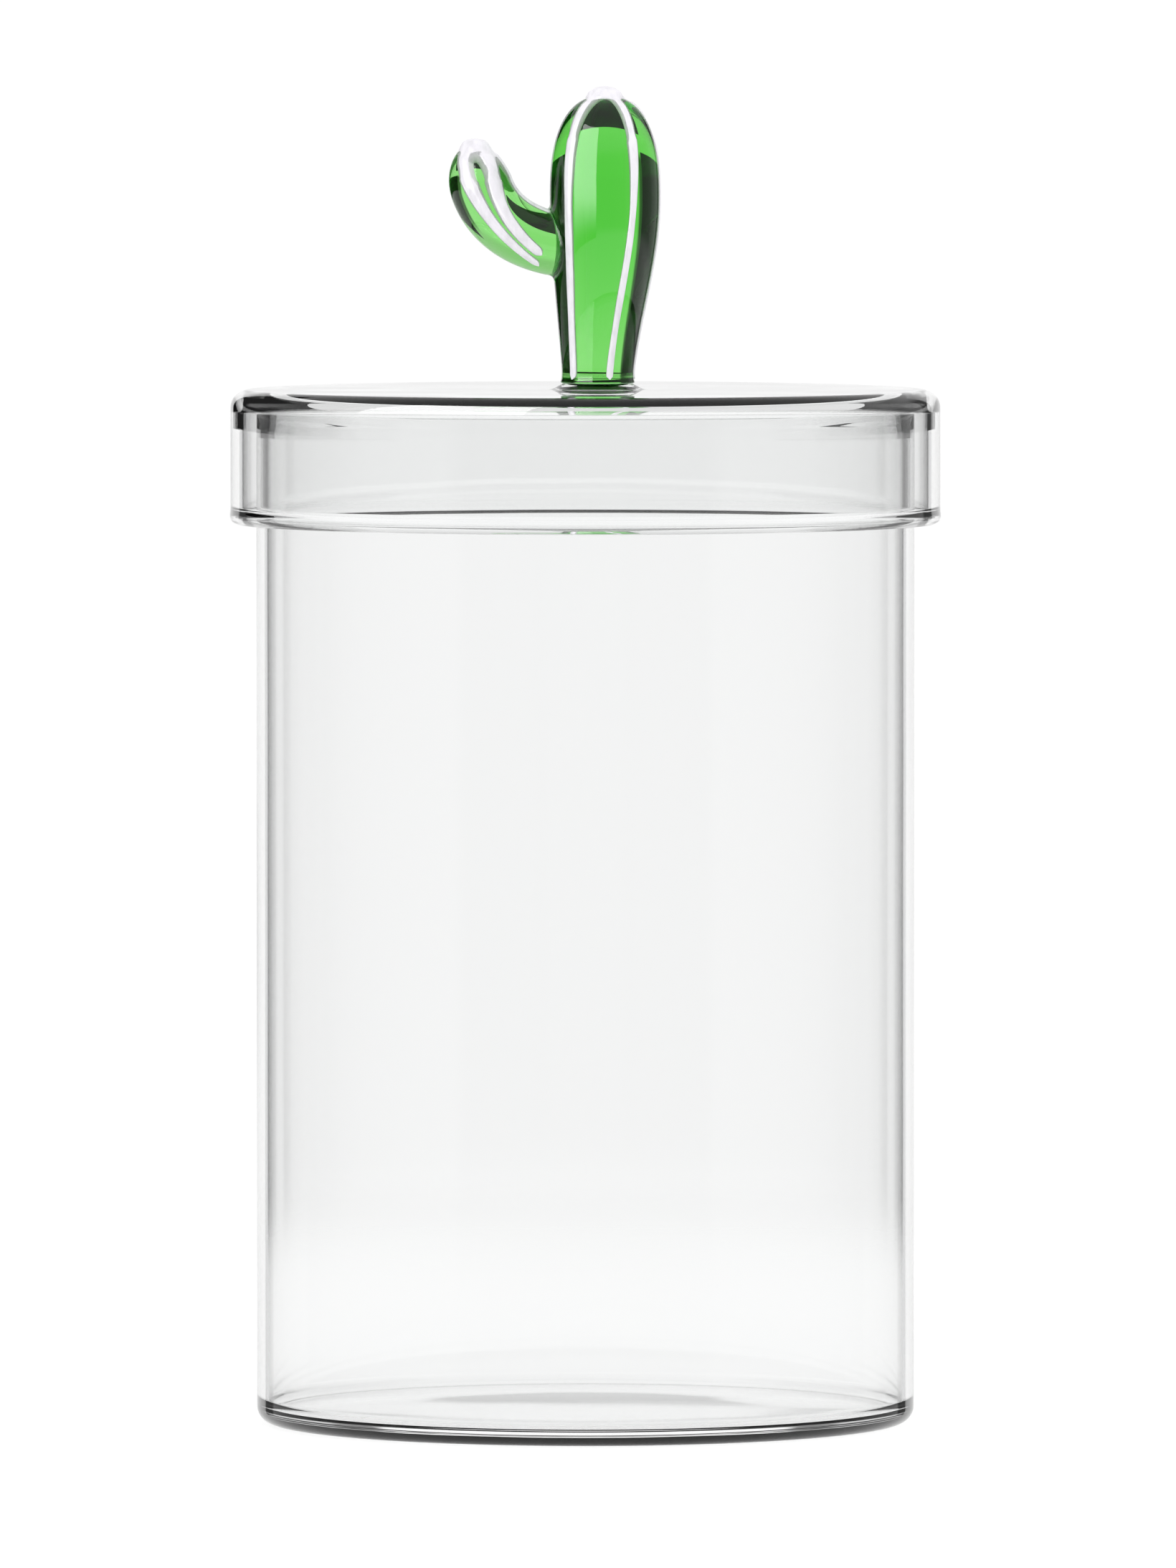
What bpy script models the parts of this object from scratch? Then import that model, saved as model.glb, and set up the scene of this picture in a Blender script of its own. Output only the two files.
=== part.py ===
"""Clear glass storage jar with a loose slip-over glass lid, whose knob is a green glass cactus.

The jar stands on the XY plane with its axis on Z. The lid rests on the jar's rim and lifts
straight off. The knob is a club-shaped stem with one bent arm, and white glass threads run
along both in shallow grooves and meet in a bead at each tip. All sizes are in metres.
"""

import math

import bmesh
import bpy
from mathutils import Vector

# Fits
PIECE_GAP = 0.0003  # between two pieces that touch

# Jar
JAR_OUTER_R = 0.0510
JAR_HEIGHT = 0.1582
JAR_WALL = 0.0018
JAR_BASE = 0.0024  # glass under the inside floor, at the foot ring
JAR_HEEL_R = 0.0026
JAR_INNER_HEEL_R = 0.0018
JAR_RING_WIDTH = 0.0060  # flat ring that the jar stands on
JAR_PUSH_UP = 0.0007  # how far the middle of the base is raised

# Lid
LID_CLEARANCE = 0.0020  # between the jar's wall and the skirt, all round
LID_WALL = 0.0020
LID_PLATE = 0.0018
LID_HEIGHT = 0.0208
LID_SHOULDER_R = 0.0028
LID_INNER_CORNER_R = 0.0016
LID_BEAD_HEIGHT = 0.0027  # thickened lower edge of the skirt
LID_BEAD_OUT = 0.0001
LID_BEAD_IN = 0.0004

# Clear pad that joins the knob to the lid
PAD_R = 0.0062
PAD_HEIGHT = 0.0004
PAD_EDGE_R = 0.00015

# Stem of the knob
STEM_OFFSET = 0.0019  # of the foot from the lid's middle, along X
STEM_HEIGHT = 0.0445
STEM_FOOT_R = 0.00545
STEM_BELLY_R = 0.00855
STEM_BELLY_HEIGHT = 0.0287
STEM_FLARE = 0.0003  # extra radius where the foot meets the lid
STEM_FLARE_HEIGHT = 0.0024
STEM_SWAY = 0.0011  # how far the stem leans towards +X
STEM_SWELL = 1.35  # how late the stem widens: 1 is a plain quarter sine
STEM_DOME_POWER = 2.5  # roundness of the top: 2 is an ellipse

# Arm of the knob
ARM_ROOT_HEIGHT = 0.0211  # of its axis where it leaves the stem
ARM_REACH = 0.0199  # from the stem's axis to the arm's upright end
ARM_RISE = 0.0162
ARM_BEND_POWER = 2.6  # squareness of the bend: 2 is an ellipse
ARM_ROOT_R = 0.0051
ARM_R = 0.00485
ARM_DOME = 0.0074  # length of the rounded end
ARM_DOME_POWER = 1.9

# White threads and the beads at the tips
THREAD_PROUD = 0.00035  # how far a thread stands out of the glass that it lies in
STEM_THREAD_FOOT_R = 0.00064
STEM_THREAD_TOP_R = 0.00076
STEM_THREAD_START = 0.0009  # above the foot
STEM_THREAD_TURNS = (  # degrees round the stem at its foot, middle and top, laid by hand
    (-45, -41, -43),
    (20, 30, 34),
    (96, 98, 99),
    (150, 153, 156),
    (236, 239, 241),
)
STEM_BEAD_R = 0.0021
STEM_BEAD_HEIGHT = 0.0034
ARM_THREAD_ROOT_R = 0.00065
ARM_THREAD_TIP_R = 0.00105
ARM_THREAD_TURNS = (  # degrees round the arm at its root, middle and tip, laid by hand
    (-50, -15, -45),
    (-23, 22, 38),
    (72, 86, 96),
    (148, 148, 150),
    (238, 234, 242),
)
ARM_THREAD_CLEAR = 0.0010  # from the stem's glass to a thread's end
STEM_THREAD_GRADING = 0.7  # how late a thread thickens: 1 is evenly
ARM_THREAD_GRADING = 2
ARM_BEAD_R = 0.0016
ARM_BEAD_HEIGHT = 0.0026
BEAD_SINK = 0.55  # share of a bead's height that is below the tip of its glass

# Facets
AXIS_STEP = 0.0002  # either side of a place, to find which way its axis runs
TURN_STEPS = 64
ARC_STEPS = 5
RIM_STEPS = 8
CLUB_RESOLUTION = 10  # 24 sides
THREAD_RESOLUTION = 2  # 8 sides
BODY_RINGS = 9
DOME_RINGS = 7
BEND_RINGS = 14

# Sizes that follow
JAR_INNER_R = JAR_OUTER_R - JAR_WALL
LID_INNER_R = JAR_OUTER_R + LID_CLEARANCE
LID_OUTER_R = LID_INNER_R + LID_WALL
LID_UNDERSIDE = JAR_HEIGHT + PIECE_GAP
LID_TOP = LID_UNDERSIDE + LID_PLATE
PAD_BOTTOM = LID_TOP + PIECE_GAP
STEM_FOOT = Vector((STEM_OFFSET, 0, PAD_BOTTOM + PAD_HEIGHT + PIECE_GAP))

FRONT = Vector((0, -1, 0))


# ---------------------------------------------------------------- scene and materials


def clear_scene():
    for obj in list(bpy.data.objects):
        bpy.data.objects.remove(obj)


def new_collection(name):
    collection = bpy.data.collections.new(name)
    bpy.context.scene.collection.children.link(collection)
    return collection


def glass(name, colour, roughness, transmission):
    material = bpy.data.materials.new(name)
    material.use_nodes = True
    shader = material.node_tree.nodes["Principled BSDF"]
    shader.inputs["Base Color"].default_value = (*colour, 1)
    shader.inputs["Roughness"].default_value = roughness
    shader.inputs["Metallic"].default_value = 0
    shader.inputs["IOR"].default_value = 1.47
    shader.inputs["Transmission Weight"].default_value = transmission
    return material


# ---------------------------------------------------------------- shapes


def arc(centre, radius, start, end, steps=ARC_STEPS):
    """Points (radius, height) on an arc, from start to end in degrees, where 0 points outwards."""
    angles = [math.radians(start + (end - start) * i / steps) for i in range(steps + 1)]
    return [(centre[0] + radius * math.cos(a), centre[1] + radius * math.sin(a)) for a in angles]


def turned(name, profile, collection, material):
    """A profile of (radius, height) turned about Z. It starts and ends on the axis."""
    mesh = bpy.data.meshes.new(name)
    points = [(radius, 0, height) for radius, height in profile]
    mesh.from_pydata(points, [(i, i + 1) for i in range(len(points) - 1)], [])
    obj = bpy.data.objects.new(name, mesh)
    collection.objects.link(obj)
    screw = obj.modifiers.new("Turn", "SCREW")
    screw.steps = TURN_STEPS
    screw.render_steps = TURN_STEPS
    screw.use_merge_vertices = True
    screw.merge_threshold = 0.00001
    screw.use_smooth_shade = True
    mesh.materials.append(material)
    return obj


def tube(name, path, radii, resolution, collection, material=None):
    """A mesh tube along path, with its own radius at each point and closed ends."""
    curve = bpy.data.curves.new(name, "CURVE")
    curve.dimensions = "3D"
    curve.twist_mode = "MINIMUM"
    curve.bevel_depth = max(radii)
    curve.bevel_resolution = resolution
    curve.use_fill_caps = True
    spline = curve.splines.new("POLY")
    spline.points.add(len(path) - 1)
    for point, place, radius in zip(spline.points, path, radii):
        point.co = (*place, 1)
        point.radius = radius / max(radii)
    source = bpy.data.objects.new(name + "_curve", curve)
    collection.objects.link(source)
    bpy.context.view_layer.update()
    evaluated = source.evaluated_get(bpy.context.evaluated_depsgraph_get())
    mesh = bpy.data.meshes.new_from_object(evaluated)
    mesh.name = name
    bpy.data.objects.remove(source)
    welded = bmesh.new()
    welded.from_mesh(mesh)
    bmesh.ops.remove_doubles(welded, verts=welded.verts, dist=0.00001)
    bmesh.ops.recalc_face_normals(welded, faces=welded.faces)
    welded.to_mesh(mesh)
    welded.free()
    mesh.shade_smooth()
    mesh.set_sharp_from_angle(angle=math.radians(40))
    mesh.materials.clear()
    if material:
        mesh.materials.append(material)
    obj = bpy.data.objects.new(name, mesh)
    collection.objects.link(obj)
    return obj


def cut(obj, cutters):
    for cutter in cutters:
        boolean = obj.modifiers.new("Cut " + cutter.name, "BOOLEAN")
        boolean.operation = "DIFFERENCE"
        boolean.solver = "EXACT"
        boolean.object = cutter


def as_cutter(obj):
    obj.hide_render = True
    obj.display_type = "WIRE"
    return obj


# ---------------------------------------------------------------- jar and lid


def jar_profile():
    """From the inside floor, up the inside wall, over the rim and down to the raised base."""
    ring_outer = JAR_OUTER_R - JAR_HEEL_R
    ring_inner = ring_outer - JAR_RING_WIDTH
    rim_r = JAR_WALL / 2
    floor_edge = JAR_INNER_R - JAR_INNER_HEEL_R
    floor = [
        (floor_edge * share, JAR_BASE + JAR_PUSH_UP * math.cos(math.pi / 2 * share) ** 2)
        for share in (0, 0.35, 0.7)
    ]
    base = [
        (ring_inner * share, JAR_PUSH_UP * math.cos(math.pi / 2 * share) ** 2)
        for share in (0.7, 0.35, 0)
    ]
    return [
        *floor,
        *arc((floor_edge, JAR_BASE + JAR_INNER_HEEL_R), JAR_INNER_HEEL_R, -90, 0),
        *arc((JAR_OUTER_R - rim_r, JAR_HEIGHT - rim_r), rim_r, 180, 0, RIM_STEPS),
        *arc((ring_outer, JAR_HEEL_R), JAR_HEEL_R, 0, -90),
        (ring_inner, 0),
        *base,
    ]


def lid_profile():
    """From the middle of the top, down the skirt, round its bead and back under the plate."""
    bottom = LID_TOP - LID_HEIGHT
    bead_top = bottom + LID_BEAD_HEIGHT
    bead_outer = LID_OUTER_R + LID_BEAD_OUT
    bead_inner = LID_INNER_R - LID_BEAD_IN
    tip_r = (bead_outer - bead_inner) / 2
    corner = LID_INNER_R - LID_INNER_CORNER_R
    return [
        (0, LID_TOP),
        *arc((LID_OUTER_R - LID_SHOULDER_R, LID_TOP - LID_SHOULDER_R), LID_SHOULDER_R, 90, 0),
        (LID_OUTER_R, bead_top),
        *arc((bead_outer - tip_r, bottom + tip_r), tip_r, 0, -180, RIM_STEPS),
        (LID_INNER_R, bead_top),
        *arc((corner, LID_UNDERSIDE - LID_INNER_CORNER_R), LID_INNER_CORNER_R, 0, 90),
        (0, LID_UNDERSIDE),
    ]


def pad_profile():
    edge = PAD_R - PAD_EDGE_R
    return [
        (0, PAD_HEIGHT),
        *arc((edge, PAD_HEIGHT - PAD_EDGE_R), PAD_EDGE_R, 90, 0, 2),
        *arc((edge, PAD_EDGE_R), PAD_EDGE_R, 0, -90, 2),
        (0, 0),
    ]


# ---------------------------------------------------------------- knob


def dome(radius, start, end, power):
    """(radius, distance along the axis) from the widest place to the tip, with the tip last."""
    angles = [math.pi / 2 * (i + 1) / DOME_RINGS for i in range(DOME_RINGS)]
    points = [
        (
            radius * max(math.cos(a), 0) ** (2 / power),
            start + (end - start) * math.sin(a) ** (2 / power),
        )
        for a in angles
    ]
    return [*points[:-1], (0, end)]


def stem_radius(height):
    """Radius of the stem from its foot up to the belly."""
    share = min(height / STEM_BELLY_HEIGHT, 1)
    swell = math.sin(math.pi / 2 * share**STEM_SWELL)
    flare = max(1 - height / STEM_FLARE_HEIGHT, 0) ** 2
    return STEM_FOOT_R + (STEM_BELLY_R - STEM_FOOT_R) * swell + STEM_FLARE * flare


def stem_profile():
    low = [STEM_FLARE_HEIGHT * i / 3 for i in range(3)]
    body = STEM_BELLY_HEIGHT - STEM_FLARE_HEIGHT
    high = [STEM_FLARE_HEIGHT + body * i / BODY_RINGS for i in range(BODY_RINGS + 1)]
    sides = [(stem_radius(height), height) for height in low + high]
    return sides + dome(STEM_BELLY_R, STEM_BELLY_HEIGHT, STEM_HEIGHT, STEM_DOME_POWER)


def stem_axis(height):
    share = min(max(height / STEM_BELLY_HEIGHT, 0), 1)
    return STEM_FOOT + Vector((STEM_SWAY * (1 - math.cos(math.pi * share)) / 2, 0, height))


def arm_bend():
    """Points of the arm's axis: a quarter of a rounded square, from the stem's axis to the tip."""
    power = 2 / ARM_BEND_POWER
    steps = 4 * BEND_RINGS
    root = stem_axis(ARM_ROOT_HEIGHT)
    points = []
    for i in range(steps + 1):
        angle = math.pi / 2 * i / steps
        along = math.sin(angle) ** power
        up = 1 - max(math.cos(angle), 0) ** power
        points.append(root + Vector((-ARM_REACH * along, 0, ARM_RISE * up)))
    return points


def length_of(points):
    return sum((b - a).length for a, b in zip(points, points[1:]))


def place_along(points, distance):
    """The place at this distance along a line of points, carried on straight past its ends."""
    for a, b in zip(points, points[1:]):
        step = (b - a).length
        if distance <= step or b is points[-1]:
            return a + (b - a) * (distance / step)
        distance -= step
    return points[-1]


def arm_profile():
    length = length_of(arm_bend())
    shoulder = length - ARM_DOME
    sides = [
        (ARM_ROOT_R + (ARM_R - ARM_ROOT_R) * i / BEND_RINGS, shoulder * i / BEND_RINGS)
        for i in range(BEND_RINGS + 1)
    ]
    return sides + dome(ARM_R, shoulder, length, ARM_DOME_POWER)


def arm_axis(distance):
    return place_along(arm_bend(), distance)


def offset(profile, distance):
    """The profile moved outwards by distance, square to itself."""
    moved = []
    for i, (radius, along) in enumerate(profile):
        before = profile[max(i - 1, 0)]
        after = profile[min(i + 1, len(profile) - 1)]
        slope = Vector((after[0] - before[0], after[1] - before[1])).normalized()
        moved.append((radius + slope.y * distance, along - slope.x * distance))
    return moved


def club(name, axis, profile, grow, collection, material=None):
    """A round body along an axis. grow is added all round, which also carries it past its root."""
    points = offset(profile, grow) if grow else profile
    path = [axis(along) for _, along in points]
    radii = [max(radius, 0.00001) for radius, _ in points]
    return tube(name, path, radii, CLUB_RESOLUTION, collection, material)


def thread_path(axis, profile, angle, keep):
    """A line along the body at an angle round it, on the points of profile for which keep is true."""
    path = []
    for radius, along in profile:
        if not keep(radius, along):
            continue
        ahead = (axis(along + AXIS_STEP) - axis(along - AXIS_STEP)).normalized()
        side = ahead.cross(FRONT)
        turn = angle(along)
        path.append(axis(along) + radius * (math.cos(turn) * FRONT + math.sin(turn) * side))
    return path


def grading(first, last, count, power):
    """Radii from first to last over count points. A higher power keeps to first for longer."""
    return [first + (last - first) * (i / (count - 1)) ** power for i in range(count)]


def through(root, middle, tip, share):
    """The value at this share of the way on the parabola through three evenly spaced values."""
    return (
        root * (1 - share) * (1 - 2 * share)
        + middle * 4 * share * (1 - share)
        + tip * share * (2 * share - 1)
    )


def threads(name, axis, bed, all_turns, start, end, nearest, radii, power):
    """(name, path, radii) of each thread on a body, from start to as near the tip as the bead lets it."""
    made = []
    for i, turns in enumerate(all_turns):
        path = thread_path(
            axis,
            bed,
            lambda along, turns=turns: math.radians(through(*turns, (along - start) / (end - start))),
            lambda radius, along: along > start and radius > nearest,
        )
        made.append((f"{name}_{i + 1}", path, grading(*radii, len(path), power)))
    return made


def stem_threads():
    """The threads on the stem. They thicken towards the belly."""
    bed = offset(stem_profile(), THREAD_PROUD - STEM_THREAD_TOP_R)
    nearest = STEM_BEAD_R + PIECE_GAP + STEM_THREAD_TOP_R
    radii = (STEM_THREAD_FOOT_R, STEM_THREAD_TOP_R)
    return threads(
        "stem_thread",
        stem_axis,
        bed,
        STEM_THREAD_TURNS,
        STEM_THREAD_START,
        STEM_HEIGHT,
        nearest,
        radii,
        STEM_THREAD_GRADING,
    )


def arm_threads():
    """The threads on the arm. They thicken towards the tip."""
    bed = offset(arm_profile(), THREAD_PROUD - ARM_THREAD_ROOT_R)
    start = stem_radius(ARM_ROOT_HEIGHT) + ARM_THREAD_CLEAR + ARM_THREAD_ROOT_R
    nearest = ARM_BEAD_R + PIECE_GAP + ARM_THREAD_TIP_R
    radii = (ARM_THREAD_ROOT_R, ARM_THREAD_TIP_R)
    return threads(
        "arm_thread",
        arm_axis,
        bed,
        ARM_THREAD_TURNS,
        start,
        length_of(arm_bend()),
        nearest,
        radii,
        ARM_THREAD_GRADING,
    )


def bead(name, tip, ahead, radius, height, grow, collection, material=None):
    """A flattened ball sunk into the tip of a body, square to the body's axis."""
    bpy.ops.mesh.primitive_uv_sphere_add(segments=16, ring_count=8, radius=1)
    obj = bpy.context.object
    obj.name = name
    obj.data.name = name
    for old in list(obj.users_collection):
        old.objects.unlink(obj)
    collection.objects.link(obj)
    obj.location = tip + ahead * height * (0.5 - BEAD_SINK)
    obj.rotation_euler = ahead.to_track_quat("Z", "Y").to_euler()
    obj.scale = (radius + grow, radius + grow, height / 2 + grow)
    obj.data.shade_smooth()
    if material:
        obj.data.materials.append(material)
    return obj


def thread_tube(thread, grow, collection, material=None):
    name, path, radii = thread
    grown = [radius + grow for radius in radii]
    if grow:
        path = [
            path[0] + (path[0] - path[1]).normalized() * grow,
            *path[1:-1],
            path[-1] + (path[-1] - path[-2]).normalized() * grow,
        ]
        name = "cut_" + name
    return tube(name, path, grown, THREAD_RESOLUTION, collection, material)


def knob(parts, cutters, green, white):
    on_stem = stem_threads()
    on_arm = arm_threads()
    up = Vector((0, 0, 1))
    stem_tip = stem_axis(STEM_HEIGHT)
    bend = arm_bend()
    arm_tip = bend[-1]
    arm_ahead = (bend[-1] - bend[-2]).normalized()
    stem_bead = (stem_tip, up, STEM_BEAD_R, STEM_BEAD_HEIGHT)
    arm_bead = (arm_tip, arm_ahead, ARM_BEAD_R, ARM_BEAD_HEIGHT)

    for thread in on_stem + on_arm:
        thread_tube(thread, 0, parts, white)
    bead("stem_tip_bead", *stem_bead, 0, parts, white)
    bead("arm_tip_bead", *arm_bead, 0, parts, white)

    stem_grooves = [as_cutter(thread_tube(t, PIECE_GAP, cutters)) for t in on_stem]
    arm_grooves = [as_cutter(thread_tube(t, PIECE_GAP, cutters)) for t in on_arm]
    stem_seat = as_cutter(bead("cut_stem_bead", *stem_bead, PIECE_GAP, cutters))
    arm_seat = as_cutter(bead("cut_arm_bead", *arm_bead, PIECE_GAP, cutters))
    stem_bed = as_cutter(club("cut_stem", stem_axis, stem_profile(), PIECE_GAP, cutters))

    stem = club("cactus_stem", stem_axis, stem_profile(), 0, parts, green)
    cut(stem, [*stem_grooves, stem_seat])
    arm = club("cactus_arm", arm_axis, arm_profile(), 0, parts, green)
    cut(arm, [stem_bed, *stem_grooves, *arm_grooves, arm_seat])


def main():
    clear_scene()
    parts = new_collection("cactus_knob_jar")
    cutters = new_collection("cutters")
    clear = glass("clear_glass", (0.97, 0.98, 0.98), 0.0, 1.0)
    green = glass("green_glass", (0.16, 0.62, 0.14), 0.02, 1.0)
    white = glass("white_glass", (0.93, 0.92, 0.95), 0.12, 0.0)
    turned("jar_body", jar_profile(), parts, clear)
    turned("lid_cap", lid_profile(), parts, clear)
    pad = turned("knob_pad", pad_profile(), parts, clear)
    pad.location = (STEM_OFFSET, 0, PAD_BOTTOM)
    knob(parts, cutters, green, white)


main()
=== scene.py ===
"""The looks of a glass storage jar whose loose lid has a green glass cactus for a knob.

The clear jar and lid are turned from their outlines, the cactus is swept along its axes and
fused into one body, and white glass lines are laid along it and drawn together at its tips.
"""

import math

import bmesh
import bpy
from bpy.props import FloatProperty, FloatVectorProperty, IntProperty, PointerProperty
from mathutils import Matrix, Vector, kdtree, noise


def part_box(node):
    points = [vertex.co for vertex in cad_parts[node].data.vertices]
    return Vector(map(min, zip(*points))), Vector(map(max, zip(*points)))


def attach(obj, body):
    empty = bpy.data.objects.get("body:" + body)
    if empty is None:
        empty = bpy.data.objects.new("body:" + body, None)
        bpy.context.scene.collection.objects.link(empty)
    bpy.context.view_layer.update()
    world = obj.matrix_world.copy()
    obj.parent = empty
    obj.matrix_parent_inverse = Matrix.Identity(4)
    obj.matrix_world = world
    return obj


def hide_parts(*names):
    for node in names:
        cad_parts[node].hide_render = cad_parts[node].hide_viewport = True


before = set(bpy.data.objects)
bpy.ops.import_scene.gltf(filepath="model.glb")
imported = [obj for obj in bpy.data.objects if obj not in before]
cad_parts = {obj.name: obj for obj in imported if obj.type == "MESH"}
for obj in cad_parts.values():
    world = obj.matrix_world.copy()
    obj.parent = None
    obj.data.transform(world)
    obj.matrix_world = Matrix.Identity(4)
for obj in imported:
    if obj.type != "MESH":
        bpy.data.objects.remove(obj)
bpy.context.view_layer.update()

bl_info = {
    "name": "Cactus Knob Glass Jar",
    "version": (1, 0, 0),
    "blender": (4, 5, 0),
    "location": "View3D > Sidebar > Glass Jar",
    "description": "Blows a clear glass jar and lid and lays a striped green glass cactus on top",
    "category": "Object",
}

# Places that the frame gives
JAR_LOW, JAR_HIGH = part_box("jar_body")
LID_LOW, LID_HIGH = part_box("lid_cap")
PAD_LOW, PAD_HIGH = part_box("knob_pad")
STEM_LOW, STEM_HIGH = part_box("cactus_stem")
STEM_TIP_LOW, STEM_TIP_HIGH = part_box("stem_tip_bead")
ARM_LOW, ARM_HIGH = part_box("cactus_arm")
ARM_TIP_LOW, ARM_TIP_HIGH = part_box("arm_tip_bead")

FRONT = Vector((0, -1, 0))
SAME_PLACE = 0.000001  # points closer than this are one
AXIS_STEP = 0.0002  # either side of a place, to find which way its axis runs
BUMP_DEPTH = 0.0002  # of a glass surface's fine unevenness


# ---------------------------------------------------------------- sizes and colours


def length(name, description, default):
    return FloatProperty(
        name=name, description=description, default=default, unit="LENGTH", subtype="DISTANCE", precision=5
    )


def number(name, description, default):
    return FloatProperty(name=name, description=description, default=default)


def colour(name, description, default):
    return FloatVectorProperty(
        name=name, description=description, default=default, subtype="COLOR", size=3, min=0, max=1
    )


class JarSizes(bpy.types.PropertyGroup):
    """The blown jar and its lid."""

    wall: length("Jar Wall", "Thickness of the jar's wall", 0.0018)
    base: length("Jar Base", "Glass under the inside floor", 0.0024)
    heel: length("Heel Radius", "Outer rounding where the wall meets the base", 0.0026)
    inner_heel: length("Inner Heel Radius", "Inner rounding where the wall meets the floor", 0.0018)
    ring: length("Standing Ring", "Width of the flat ring that the jar stands on", 0.0060)
    push_up: length("Push-up", "How far the middle of the base is raised", 0.0007)
    rim_swell: length("Rim Swell", "How far the melted rim stands proud of the wall inside", 0.00022)
    skirt: length("Lid Skirt", "Thickness of the lid's skirt", 0.0020)
    plate: length("Lid Plate", "Thickness of the lid's top", 0.0018)
    shoulder: length("Lid Shoulder", "Outer rounding of the lid's shoulder", 0.0028)
    inner_shoulder: length("Inner Shoulder", "Inner rounding of the lid's shoulder", 0.0016)
    bead: length("Skirt Bead", "Height of the thickened edge of the skirt", 0.0027)
    bead_out: length("Bead Outwards", "How far the bead stands out of the skirt", 0.0001)
    bead_in: length("Bead Inwards", "How far the bead stands into the lid", 0.0004)
    weld: length("Knob Weld", "Width of the slope round the knob's melted foot", 0.0022)
    waviness: length("Waviness", "How far the blown surface strays from true", 0.00003)
    segments: IntProperty(name="Segments", description="Facets round the jar and lid", default=256, min=32)


class CactusSizes(bpy.types.PropertyGroup):
    """The solid green knob."""

    foot: length("Foot Radius", "Radius of the stem just above its foot", 0.00545)
    flare: length("Foot Flare", "Extra radius where the foot meets the pad", 0.0003)
    flare_height: length("Flare Height", "Height over which the foot flares", 0.0024)
    belly_height: length("Belly Height", "Height of the stem's widest place above its foot", 0.0287)
    sway: length("Sway", "How far the stem leans to the right", 0.0011)
    arm_root_height: length("Arm Height", "Height of the arm's axis at the stem", 0.0211)
    arm_root: length("Arm Root Radius", "Radius of the arm where it leaves the stem", 0.0051)
    arm_tip: length("Arm Radius", "Radius of the arm below its rounded end", 0.00485)
    arm_dome: length("Arm Dome", "Length of the arm's rounded end", 0.0074)
    fillet: length("Joint Fillet", "How far the weld between arm and stem is melted smooth", 0.0011)


class LineSizes(bpy.types.PropertyGroup):
    """The white lines and tips."""

    stem_foot: length("Stem Line at Foot", "Half the width of a stem line at its foot", 0.00062)
    stem_belly: length("Stem Line at Belly", "Half the width of a stem line at the belly", 0.00070)
    stem_top: length("Stem Line at Top", "Half the width of a stem line where it meets the others", 0.00135)
    arm_root: length("Arm Line at Root", "Half the width of an arm line at its root", 0.00074)
    arm_top: length("Arm Line at Tip", "Half the width of an arm line at its tip", 0.0020)
    flatness: number("Flatness", "Thickness of a line for its width", 0.62)
    proud: length("Proud", "How far a line stands out of the green glass", 0.00022)
    melt: length("Melt", "How far round a seam two lines run together", 0.0012)
    wander: number("Wander", "How unevenly the lines are drawn", 0.06)


class GlassColours(bpy.types.PropertyGroup):
    """The three glasses."""

    clear: colour("Clear", "Tint that each surface of the clear glass gives", (0.995, 0.998, 0.997))
    green: colour("Green", "Light that is left after a unit of the green glass", (0.21, 0.836, 0.022))
    green_depth: number("Green Depth", "Strength of the green, per metre", 180)
    white: colour("White", "Colour of the opal lines", (0.90, 0.88, 0.93))
    ior: number("Refraction", "Index of borosilicate glass", 1.47)


class StudioSizes(bpy.types.PropertyGroup):
    """The camera and the light."""

    distance: length("Camera Distance", "From the camera to the jar's axis", 3.0)
    height: length("Camera Height", "Height of the camera above the table", 0.2362)
    aim: length("Aim Height", "Height that the camera looks at", 0.0991)
    picture_height: length("Picture Height", "Height of the picture at the jar", 0.2432)
    matt_light: number("Matt Light", "Even light on table and opal glass", 1.15)
    window: number("Window", "Brightness of the lit wall behind the jar", 1.0)
    strip: number("Strips", "Brightness of the dark strips at its edges", 0.15)
    beside: number("Beside", "Brightness of the walls beside the strips", 0.55)
    side: number("Sides", "Brightness of the walls at the sides", 0.42)
    front: number("Front", "Brightness of the room behind the camera", 0.31)
    ceiling: number("Ceiling", "Brightness overhead", 0.75)
    softbox: number("Softbox", "Brightness of the softbox beside the knob", 6.5)


# ---------------------------------------------------------------- node wiring


class Wire:
    """A socket that works in an expression: each operator adds its Math node."""

    def __init__(self, board, socket):
        self.board = board
        self.socket = socket

    def __add__(self, other):
        return self.board.math("ADD", self, other)

    def __sub__(self, other):
        return self.board.math("SUBTRACT", self, other)

    def __rsub__(self, other):
        return self.board.math("SUBTRACT", other, self)

    def __mul__(self, other):
        return self.board.math("MULTIPLY", self, other)

    def __truediv__(self, other):
        return self.board.math("DIVIDE", self, other)

    __radd__ = __add__
    __rmul__ = __mul__

    def between(self, low, high):
        """0 at low, 1 at high and an eased rise between them."""
        ranged = self.board.node(
            "ShaderNodeMapRange",
            {"interpolation_type": "SMOOTHSTEP", "clamp": True},
            {"Value": self, "From Min": low, "From Max": high, "To Min": 0.0, "To Max": 1.0},
        )
        return self.board.wire(ranged, "Result")


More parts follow.
